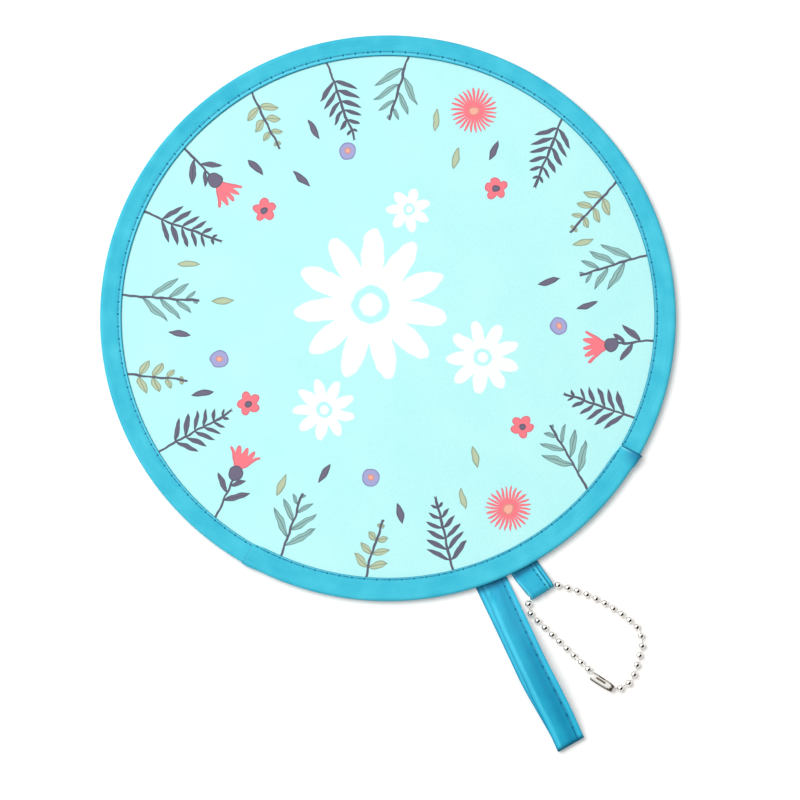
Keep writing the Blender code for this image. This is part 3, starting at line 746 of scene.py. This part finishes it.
def tape_strip(length, width, ply, steps_along, steps_across, shape, place):
    """A strip of tape from a grid: shape gives each point of its middle layer and its way out, from the
    distance along it and across it."""
    bm = bmesh.new()
    bmesh.ops.create_grid(bm, x_segments=steps_along, y_segments=steps_across, size=1)
    uv = bm.loops.layers.uv.new("tape_mm")
    for face in bm.faces:
        for loop in face.loops:
            spot = loop.vert.co
            loop[uv].uv = ((spot.x + 1) / 2 * length / MM, (spot.y + 1) / 2 * width / MM)
    top = {}
    for vert in bm.verts:
        top[vert] = shape((vert.co.x + 1) / 2 * length, vert.co.y * width / 2)
    made = bmesh.ops.duplicate(bm, geom=bm.verts[:] + bm.edges[:] + bm.faces[:])
    copies = {made["vert_map"][vert]: top[vert] for vert in top if vert in made["vert_map"]}
    rim = [edge for edge in bm.edges if edge.is_boundary]
    for vert, (point, out) in copies.items():
        vert.co = point - out * ply / 2
    for vert, (point, out) in top.items():
        vert.co = point + out * ply / 2
    bmesh.ops.bridge_loops(bm, edges=rim)
    bm.transform(place)
    return bm


def seam_places(shape, place, spans, across, gap):
    """Places of the stitches that a strip's seam shows on its outside, over spans of its length."""
    above_cloth = 0.2 * MM
    places = []
    for start, end in spans:
        for n in range(math.ceil(start / gap), math.floor(end / gap)):
            spot, out = shape((n + 0.5) * gap, across)
            ahead = shape((n + 0.6) * gap, across)[0]
            turn = place.to_3x3()
            places.append((place @ (spot + out * above_cloth), turn @ (ahead - spot), turn @ out))
    return places


def build_strap():
    """The handle strap: one satin tape doubled back at its end, edge stitched, its lower run set to the
    left, so that it shows beside the upper one. It arches off the table, and its cut-off end is
    slanted and shorter than the solid's."""
    hinge = direction(strap_angle) * fold_radius + UP * strap_middle
    place = place_flat(hinge, strap_heading)
    ply, fold_loop = 0.3 * MM, 0.3 * MM
    bend = math.pi * fold_loop
    straight = strap_reach + root_far - 0.45 * MM
    length = 2 * straight + bend
    end_slant, end_short = 0.1, 1 * MM
    arch_rise, arch_share = 4.8 * MM, 0.93
    dent_depth, ripple_height = 0.8 * MM, 0.2 * MM
    crown = [(0, 0), (0.4, 0.17), (1, 0.3), (1.8, 0.38), (3, 0.37), (4.5, 0.28), (6, 0.17), (7.1, 0.09),
             (7.75, -0.1), (8.3, 0.1), (8.9, 0.16), (9.5, 0.1), (9.9, -0.02)]

    # The edges of each run, left and right of the strap's middle line, are in mm
    def shape(s, t):
        upper = s > straight + bend / 2
        if s < straight:
            x, z, out = s - root_far, -fold_loop, -UP
        elif s > straight + bend:
            x, z, out = straight - (s - straight - bend) - root_far, fold_loop, UP
        else:
            turn = (s - straight) / bend * math.pi - math.pi / 2
            out = Vector((math.cos(turn), 0, math.sin(turn)))
            x, z = straight - root_far + fold_loop * math.cos(turn), fold_loop * math.sin(turn)
        if upper:
            left = -5.5 - 0.6 * ease(0, 20 * MM, x) + 0.7 * ease(38 * MM, 58 * MM, x)
            right = 3.87 + 0.98 * ease(27 * MM, 55 * MM, x)
            free = ease(0, 3 * MM, x)
            ripple = noise.noise(Vector((x / (9 * MM), t / (5 * MM), 3))) * ripple_height
            dent = ((x - 3.2 * MM) / (2.2 * MM)) ** 2 + ((t + 2 * MM + 0.2 * x) / (1.2 * MM)) ** 2
            raised = between(crown, t + strap_width / 2) + ripple
            z += raised * free - dent_depth * math.exp(-dent) * free
        else:
            left = -7.4 + 2.3 * ease(32 * MM, 63 * MM, x)
            right = left + strap_width / MM
        y = (left + (t / strap_width + 0.5) * (right - left)) * MM
        x -= (end_short + t * end_slant) * ease(0, 40 * MM, x)
        z += arch_rise * math.sin(math.pi * arch_share * max(0, x / strap_reach))
        return Vector((x, y, z)), out

    bm = tape_strip(length, strap_width, ply, 300, 36, shape, place)
    strap = finish_piece("handle_strap_satin", bm, strap_satin, None,
                         ["handle_strap", "handle_strap_root"])
    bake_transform(strap)
    clear = root_far + 2.5 * MM
    spans = ((clear, straight), (straight + bend, length - clear))
    places = seam_places(shape, place, spans, strap_seam, stitch_pitch)
    stitch_row("strap_stitches", "strap", places, 3.4 * MM, 0.19 * MM)


def build_tab():
    """The chain's tab: a satin tape doubled round the chain, stitched and pressed beside its right edge,
    and narrower at the chain, where it leaves the left strand its room."""
    hinge = direction(tab_angle) * fold_radius + UP * strap_middle
    place = place_flat(hinge, tab_heading)
    ply = 0.35 * MM
    far = Vector((tab_end_distance, tab_end_radius - strap_half))
    ring = tab_end_radius - ply / 2
    near_ring = strap_half - ply / 2
    taper = math.asin((ring - near_ring) / far.length)
    lean = math.atan2(far.y, far.x)
    low, high = lean - math.pi / 2 - taper, lean + math.pi / 2 + taper
    relief = [(0, -0.05), (0.4, 0.1), (1, 0.14), (4, 0.16), (6.6, 0.12), (7.2, 0), (7.7, 0.12), (8.1, 0.12),
              (8.6, -0.16), (9, 0.12), (9.4, 0.12), (9.8, 0.02), (10, -0.1)]
    lines = [Vector((-root_far, -near_ring)), Vector((-root_near, -near_ring)),
             Vector((near_ring * math.cos(low), near_ring * math.sin(low)))]
    turns, squareness = 28, 0.06
    for n in range(turns + 1):
        turn = low + (high - low) * n / turns - lean
        spread = 1 + squareness * math.sin(2 * turn) ** 2 * (abs(turn) < math.pi / 2)
        lines.append(far + Vector((math.cos(turn + lean), math.sin(turn + lean))) * ring * spread)
    lines += [Vector((near_ring * math.cos(high), near_ring * math.sin(high))),
              Vector((-root_near, near_ring)), Vector((-root_far, near_ring))]
    steps = [(b - a).length for a, b in zip(lines, lines[1:])]
    length = sum(steps)

    def shape(s, t):
        n = 0
        while n < len(steps) - 1 and s > steps[n]:
            s -= steps[n]
            n += 1
        a, b = lines[n], lines[n + 1]
        way = (b - a).normalized()
        spot = a + way * s
        out = Vector((way.y, 0, -way.x))
        sag = 0.16 * MM * noise.noise(Vector((spot.x / (5 * MM), t / (4 * MM), 7)))
        free = ease(0, 3 * MM, spot.x)
        left, right = -5.4 + 0.115 * max(0, spot.x / MM), 4.75
        y = (left + (t / tab_width + 0.5) * (right - left)) * MM
        raised = between(relief, t + tab_width / 2) - sag
        if spot.y < 0:
            raised = min(0, raised - 0.2 * MM)
        return Vector((spot.x, y, spot.y)) + out * raised * free, out

    bm = tape_strip(length, tab_width, ply, 110, 36, shape, place)
    tab = finish_piece("chain_tab_satin", bm, tab_satin, None,
                       ["chain_tab", "chain_tab_root"])
    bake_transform(tab)
    clear = root_far + 1.6 * MM
    loop_start = sum(steps[:3])
    spans = ((clear, loop_start), (length - loop_start, length - clear))
    places = seam_places(shape, place, spans, tab_seam, stitch_pitch / 2)
    stitch_row("tab_stitches", "tab", places, 1.7 * MM, 0.17 * MM)


def link_slope(height_change):
    """Slope at which a strand's settling links climb by the height, in degrees."""
    return math.degrees(math.asin(height_change / settling_link_count / link_pitch))


def strand_links(crease, side, angles, slope):
    """Directions of a strand's links, which turn by the angles from the tab's crease, to a side."""
    links, heading = [], crease
    for n, angle in enumerate(angles):
        heading += side * angle
        links.append(direction(heading, slope if n < settling_link_count else 0))
    return links


def run_heading(start, clasp_end):
    """Heading of the left strand's straight run, which ends one link short of the clasp's far bead."""
    run, last = left_run_link_count * link_pitch, link_pitch + open_link_slack
    to_start = (start - clasp_end).xy
    cosine = (run ** 2 + to_start.length_squared - last ** 2) / (2 * run * to_start.length)
    return math.degrees(math.atan2(to_start.y, to_start.x) + math.acos(min(cosine, 1)))


def chain_layout():
    """Centres and axes of the beads, the links' directions, the clasp's direction and its far bead."""
    hanging = direction(tab_angle) * fold_radius + direction(tab_heading) * tab_end_distance
    hanging += UP * (strap_middle + tab_end_radius - strap_half)
    crease = tab_heading + 90
    fall = link_slope(tab_end_radius - bead_radius)
    climb = link_slope(clasp_radius - bead_radius)
    in_tab = [direction(crease), direction(crease)]
    right = in_tab + strand_links(crease, -1, right_strand_angles, -fall)
    for n in range(1, settling_link_count + 1):
        right[-n] = direction(math.degrees(math.atan2(right[-n].y, right[-n].x)), climb)
    clasp_direction = direction(crease - sum(right_strand_angles) - clasp_turn_angle)
    axes = [right[0], right[0], right[0]]
    axes += [(a + b).normalized() for a, b in zip(right[2:], right[3:] + [clasp_direction])]
    centres = [hanging - right[0] * link_pitch, hanging]
    for link, axis in zip(right[1:], axes[2:]):
        centres.append(centres[-1] + link * pin_reach + axis * head_offset)
    clasp_end = centres[-1] + clasp_direction * 2 * clasp_seat
    links = strand_links(crease, 1, left_strand_angles, fall)
    after = in_tab[0]
    for n in range(len(links) + left_run_link_count):
        if n == len(left_strand_angles):
            heading = run_heading(centres[0], clasp_end)
            links += [direction(heading)] * (left_run_link_count - settling_link_count)
            links += [direction(heading, -climb)] * settling_link_count
        axes[0] = (links[n] + after).normalized()
        centres.insert(0, centres[0] - axes[0] * head_offset - links[n] * pin_reach)
        axes.insert(0, links[n])
        after = links[n]
    return centres, axes, links[::-1] + right, clasp_direction, clasp_end


def build_bead(node, body, centre, axis, pin_direction, pin_length, has_head=True):
    """A hollow ball with its rolled mouth, and the next link's pin set in its far side."""
    mouth = math.degrees(math.asin(mouth_radius / bead_radius))
    throat = math.degrees(math.asin(throat_radius / cavity_radius))
    ball = [(0, bead_radius)] + arc(bead_radius, 90, -90 + mouth, 12)[1:]
    ball += arc(cavity_radius, -90 + throat, 90, 8)[:-1] + [(0, cavity_radius)]
    bm = turn_section(ball, False, 360, 20)
    bm.transform(place_along(centre, axis))
    if pin_length:
        foot = bead_radius - 0.1 * MM
        pin = [(0, pin_length), (pin_radius, pin_length), (pin_radius, foot), (0, foot)]
        if has_head:
            neck = math.degrees(math.asin(pin_radius / pin_head_radius))
            head = arc(pin_head_radius, 90, -90 + neck, 6, 0, pin_length)
            pin = [(0, pin_length + pin_head_radius), *head[1:], (pin_radius, foot), (0, foot)]
        rod = turn_section(pin, False, 360, 10)
        rod.transform(place_along(centre, pin_direction))
        joined = bpy.data.meshes.new("rod")
        rod.to_mesh(joined)
        rod.free()
        bm.from_mesh(joined)
        bpy.data.meshes.remove(joined)
    finish_piece(node.replace("chain_bead", "ball"), bm, nickel, body, [node])


def cut_out(piece, cutter):
    """Cuts the bmesh's shape out of the piece's mesh."""
    mesh = bpy.data.meshes.new("cutter")
    cutter.to_mesh(mesh)
    cutter.free()
    tool = bpy.data.objects.new("cutter", mesh)
    bpy.context.scene.collection.objects.link(tool)
    step = piece.modifiers.new("cut", "BOOLEAN")
    step.operation, step.object, step.solver = "DIFFERENCE", tool, "EXACT"
    bpy.context.view_layer.update()
    cut = bpy.data.meshes.new_from_object(piece.evaluated_get(bpy.context.evaluated_depsgraph_get()))
    piece.modifiers.clear()
    piece.data = cut
    bpy.data.objects.remove(tool)


def build_clasp(centre, axis):
    """The pressed sleeve: a domed left end, a right half that is drawn in to its end, and a slot along
    its upper right side that widens to a window. A second, dull brown plating covers the inside,
    where it is duller plating and painted shade, a streak along the top, which is a painted
    reflection, and both sides and the right end, which are painted shade."""
    outside = [(1.05, 4.4), (1.18, 4.38), (1.3, 4.3), (1.4, 4.15), (1.47, 3.92), (1.5, 3.6), (1.5, 2.5),
               (1.5, 0), (1.47, -1.2), (1.4, -2.4), (1.32, -3.2), (1.25, -3.65), (1.18, -4), (1.14, -4.2),
               (1.1, -4.33)]
    inside = [(1.06, -4.23), (1.11, -3.95), (1.16, -3.6), (1.21, -3.2), (1.24, -2.4), (1.3, 0), (1.3, 3.6),
              (1.2, 4.02), (1.02, 4.23)]
    slot_turn, slot_middle, slot_width, slot_length = 60, 0.8 * MM, 0.5 * MM, 8.4 * MM
    window_radius, window_stretch, cut_depth = 0.62 * MM, 2.2, 3 * MM
    place = place_along(centre, axis)
    bm = turn_section([(x * MM, z * MM) for x, z in outside + inside], True, 360, 40)
    bm.transform(place)
    clasp = finish_piece("clasp_sleeve", bm, nickel, None, ["chain_clasp"])
    middle = place @ Matrix.Rotation(math.radians(slot_turn), 4, "Z")
    middle = middle @ Matrix.Translation((cut_depth / 2, 0, slot_middle))
    bm = bmesh.new()
    bmesh.ops.create_cube(bm, size=1,
                          matrix=middle @ Matrix.Diagonal((cut_depth, slot_width, slot_length, 1)))
    cut_out(clasp, bm)
    bm = bmesh.new()
    across = Matrix.Diagonal((1, 1, window_stretch, 1)) @ Matrix.Rotation(math.radians(90), 4, "Y")
    bmesh.ops.create_cone(bm, cap_ends=True, segments=32, radius1=window_radius, radius2=window_radius,
                          depth=cut_depth, matrix=middle @ across)
    cut_out(clasp, bm)
    clasp.data.materials.append(nickel_dull_and_painted_shade)

    # The painted shade on the sides grows towards the right end until the sides meet
    for face in clasp.data.polygons:
        spot = place.inverted() @ face.center
        off = spot.xy.length
        tilt = math.degrees(math.atan2(spot.y, spot.x))
        # A painted reflection streaks along the top, painted shade covers the sides and the right end, and
        # the inside is duller plating that also stands for painted shade
        painted_reflection_streak = -9 < tilt < 18 and -1.5 * MM < spot.z < 2.5 * MM
        inwards = face.normal.dot(face.center - centre - axis * spot.z) < -0.3 * off
        side = 54 - 60 * ease(2.2 * MM, 3.9 * MM, -spot.z) < abs(tilt) < 96
        if (inwards and off < 1.36 * MM) or painted_reflection_streak or side:
            face.material_index = 1
    clasp.data.set_sharp_from_angle(angle=math.radians(40))
    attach(clasp, "clasp")


def build_chain():
    """The beads, each on its own link, and the clasp with its two beads."""
    centres, axes, links, clasp_direction, clasp_end = chain_layout()
    left_count = len(left_strand_angles) + left_run_link_count
    names = [(f"chain_bead_left_{n:02d}", f"left_link_{n:02d}") for n in range(left_count, 0, -1)]
    names += [(f"chain_bead_tab_{n}", "chain_in_tab") for n in (1, 2, 3)]
    names += [(f"chain_bead_right_{n:02d}", f"right_link_{n:02d}")
              for n in range(1, len(right_strand_angles))]
    for (node, body), centre, axis, link in zip(names, centres, axes, links):
        build_bead(node, body, centre, axis, link, pin_reach)
    build_bead("chain_bead_clasp_right", "clasp", centres[-1], axes[-1], axes[-1], 0)
    build_clasp((centres[-1] + clasp_end) / 2, clasp_direction)
    to_left = centres[0] - clasp_end
    stub = to_left.length - bead_radius - open_link_gap
    to_left.normalize()
    build_bead("chain_bead_clasp_left", "clasp", clasp_end, to_left, to_left, stub, False)


build_fabric()
build_binding()
build_strap()
build_tab()
build_chain()


def build_table():
    """A white table under the fan, lifted to plain white for the camera and in the metal."""
    scene = bpy.context.scene
    table_half, clearance, white_lift = 1.5, 0.01 * MM, 0.22
    bm = bmesh.new()
    bmesh.ops.create_grid(bm, x_segments=1, y_segments=1, size=table_half,
                          matrix=Matrix.Translation((0, 0, cad_box[0][2] - clearance)))
    mesh = bpy.data.meshes.new("table")
    bm.to_mesh(mesh)
    bm.free()
    table = bpy.data.objects.new("table", mesh)
    scene.collection.objects.link(table)
    finish, tree, shader = new_finish("white_table")
    feed(tree, shader, {"Base Color": linear("#F4F1EE"), "Roughness": 0.9})
    path = add(tree, "LightPath")
    seen = add(tree, "Math", path.outputs["Is Camera Ray"], path.outputs["Is Glossy Ray"],
               operation="MAXIMUM")
    lift = add(tree, "Math", seen, white_lift, operation="MULTIPLY")
    glow = add(tree, "Emission", linear("#FFFFFF"), lift)
    feed(tree, tree.nodes["Material Output"], {0: add(tree, "AddShader", shader, glow)})
    mesh.materials.append(finish)


def build_surround():
    """A pale surround. In the metal it is white with one dark patch and a dim horizon, which give the
    beads and the clasp their dark glints and their edges. On all else it is an even dim fill."""
    fill = 0.35
    world = bpy.data.worlds.new("studio")
    bpy.context.scene.world = world
    world.use_nodes = True
    tree = world.node_tree
    toward = add(tree, "TexCoord").outputs["Generated"]
    aside, over = [add(tree, "VectorMath", toward, tuple(way), operation="DOT_PRODUCT").outputs["Value"]
                   for way in (direction(26) * 0.85, direction(116, 54) * 1.05)]
    off = add(tree, "CombineXYZ", aside, over)
    off = add(tree, "VectorMath", off, operation="LENGTH").outputs["Value"]
    dark = add(tree, "MapRange", off, 0.62, 0.7, 0.004, 1, clamp=True)
    height = add(tree, "SeparateXYZ", toward).outputs[2]
    horizon = add(tree, "MapRange", height, 0.03, 0.36, 0.1, 1, clamp=True)
    dark = add(tree, "Math", dark, horizon, operation="MULTIPLY")
    path = add(tree, "LightPath")
    level = add(tree, "Mix", path.outputs["Is Glossy Ray"], named={2: fill, 3: dark}, data_type="FLOAT")
    feed(tree, tree.nodes["Background"], {"Color": linear("#FFFFFF"), "Strength": level})


def build_light():
    """A large soft light at the upper left of the view, two metres from the fan."""
    lamp = bpy.data.lights.new("window_light", "AREA")
    lamp.shape = "DISK"
    lamp.size = 1.5
    lamp.energy = 33.8
    light = bpy.data.objects.new("window_light", lamp)
    bpy.context.scene.collection.objects.link(light)
    aim, distance = Vector((0, -20 * MM, 0)), 2
    away = direction(132, 62) * distance
    light.matrix_world = Matrix.Translation(aim + away) @ away.to_track_quat("Z", "Y").to_matrix().to_4x4()


def build_camera():
    """Nearly straight down through a long lens, leaning from the handle's side, with the rim's far
    side up."""
    target, distance, lean = Vector((-7.36, -28.92, 0)) * MM, 2.31, 10.13
    back = direction(-112.46, 90 - lean)
    up = direction(67.69)
    up = (up - back * up.dot(back)).normalized()
    camera = bpy.data.cameras.new("photo_camera")
    camera.lens = 300
    camera.sensor_width = 36
    view = bpy.data.objects.new("photo_camera", camera)
    turn = Matrix((up.cross(back), up, back)).transposed().to_4x4()
    view.matrix_world = Matrix.Translation(target + back * distance) @ turn
    bpy.context.scene.collection.objects.link(view)
    bpy.context.scene.camera = view


build_table()
build_surround()
build_light()
build_camera()
bpy.context.scene.view_settings.view_transform = "Standard"
